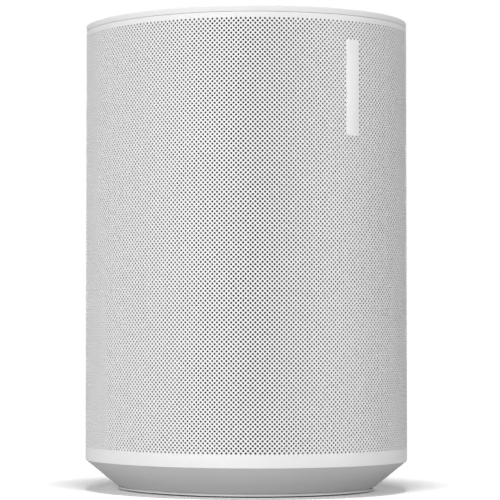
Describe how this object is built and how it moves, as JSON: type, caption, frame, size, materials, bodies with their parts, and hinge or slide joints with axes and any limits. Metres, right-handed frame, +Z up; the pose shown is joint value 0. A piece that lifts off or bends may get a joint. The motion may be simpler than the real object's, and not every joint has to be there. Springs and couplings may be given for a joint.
{
  "type": "smart speaker",
  "caption": "Upright oval smart speaker: perforated wraparound grille, touch cap, angled small drivers, front woofer, tapered base and rear connector panel.",
  "frame": {"origin": "middle of the resting face, under the centre of the oval", "axes": "+Z up along the height, -Y towards the front badge, +Y towards the connector panel, +X to the right seen from behind the front looking along +Y"},
  "size_m": [0.12, 0.1308, 0.1825],
  "materials": {
    "shell_plastic": "fine matte moulded white",
    "cap_plastic": "smooth matte moulded white",
    "base_plastic": "matte moulded light grey",
    "panel_plastic": "matte moulded white",
    "badge_plastic": "satin white",
    "cloth": "fine black acoustic cloth",
    "foot_rubber": "matte rubber",
    "black_plastic": "matte black moulded",
    "frame_plastic": "glass filled black moulded",
    "circuit_board": "green solder mask",
    "steel": "zinc plated",
    "tin_can": "tinned",
    "brass_pins": "nickel plated brass",
    "cast_alloy": "black anodised or plain",
    "paper_cone": "coated pulp",
    "seal_rubber": "soft rubber",
    "foam": "open cell foam",
    "ferrite": "ground ferrite",
    "copper": "enamelled copper wire",
    "thermal_gel": "soft silicone pad",
    "clear_pipe": "clear moulded light guide",
    "led_lens": "yellow phosphor lens",
    "flex_film": "amber polyimide"
  },
  "bodies": {
    "speaker": {"antennas": "circuit_board", "base": "base_plastic", "base_screws": "steel", "board_carrier": "frame_plastic", "connector_board": "circuit_board", "connector_board_screws": "steel", "damping_foam": "foam", "enclosure_front": "frame_plastic", "enclosure_gasket": "seal_rubber", "enclosure_rear": "frame_plastic", "enclosure_screws": "steel", "foot_plate": "base_plastic", "front_badge": "badge_plastic", "grille": "shell_plastic", "grille_cloth": "cloth", "heat_sink": "cast_alloy", "lower_chassis": "frame_plastic", "main_board": "circuit_board", "mains_inlet": "black_plastic", "mains_pins": "brass_pins", "microphone_gaskets": "seal_rubber", "microphone_switch_body": "black_plastic", "microphones": "tin_can", "pairing_button_switch": "black_plastic", "power_board_screws": "steel", "power_capacitors": "black_plastic", "power_supply_board": "circuit_board", "rear_panel": "panel_plastic", "rubber_foot": "foot_rubber", "shield_cans": "tin_can", "status_led": "led_lens", "status_light_pipe": "clear_pipe", "thermal_pad": "thermal_gel", "top_cap": "cap_plastic", "touch_board": "circuit_board", "touch_ribbon_cable": "flex_film", "transformer": "ferrite", "tweeter_bracket": "frame_plastic", "tweeter_left": "black_plastic", "tweeter_right": "black_plastic", "tweeter_screws_left": "steel", "tweeter_screws_right": "steel", "upper_chassis": "frame_plastic", "usb_socket_shell": "tin_can", "usb_socket_tongue": "black_plastic", "woofer_basket": "steel", "woofer_gasket": "seal_rubber", "woofer_magnet": "ferrite", "woofer_screws": "steel", "woofer_spider": "foam", "woofer_surround": "seal_rubber", "woofer_yoke": "steel"},
    "woofer_cone_body": {"woofer_cone": "paper_cone", "woofer_dust_cap": "paper_cone", "woofer_voice_coil": "copper"},
    "tweeter_dome_left_body": {"tweeter_dome_left": "foam"},
    "tweeter_dome_right_body": {"tweeter_dome_right": "foam"},
    "microphone_switch": {"microphone_switch_knob": "panel_plastic"},
    "pairing_button_body": {"pairing_button": "panel_plastic"}
  },
  "joints": [
    {"name": "woofer_cone_travel", "type": "slide", "parent": "speaker", "child": "woofer_cone_body", "axis": [0, -1, 0], "range_m": [-0.004, 0.004], "stiffness_N_per_m": 1200},
    {"name": "tweeter_dome_left_travel", "type": "slide", "parent": "speaker", "child": "tweeter_dome_left_body", "axis": [-0.6157, -0.788, 0], "range_m": [-0.0003, 0.0003], "stiffness_N_per_m": 1500},
    {"name": "tweeter_dome_right_travel", "type": "slide", "parent": "speaker", "child": "tweeter_dome_right_body", "axis": [0.6157, -0.788, 0], "range_m": [-0.0003, 0.0003], "stiffness_N_per_m": 1500},
    {"name": "microphone_switch_slide", "type": "slide", "parent": "speaker", "child": "microphone_switch", "axis": [1, 0, 0], "range_m": [0, 0.002]},
    {"name": "pairing_button_press", "type": "slide", "parent": "speaker", "child": "pairing_button_body", "axis": [0, -1, 0], "range_m": [0, 0.0006], "stiffness_N_per_m": 1500}
  ]
}
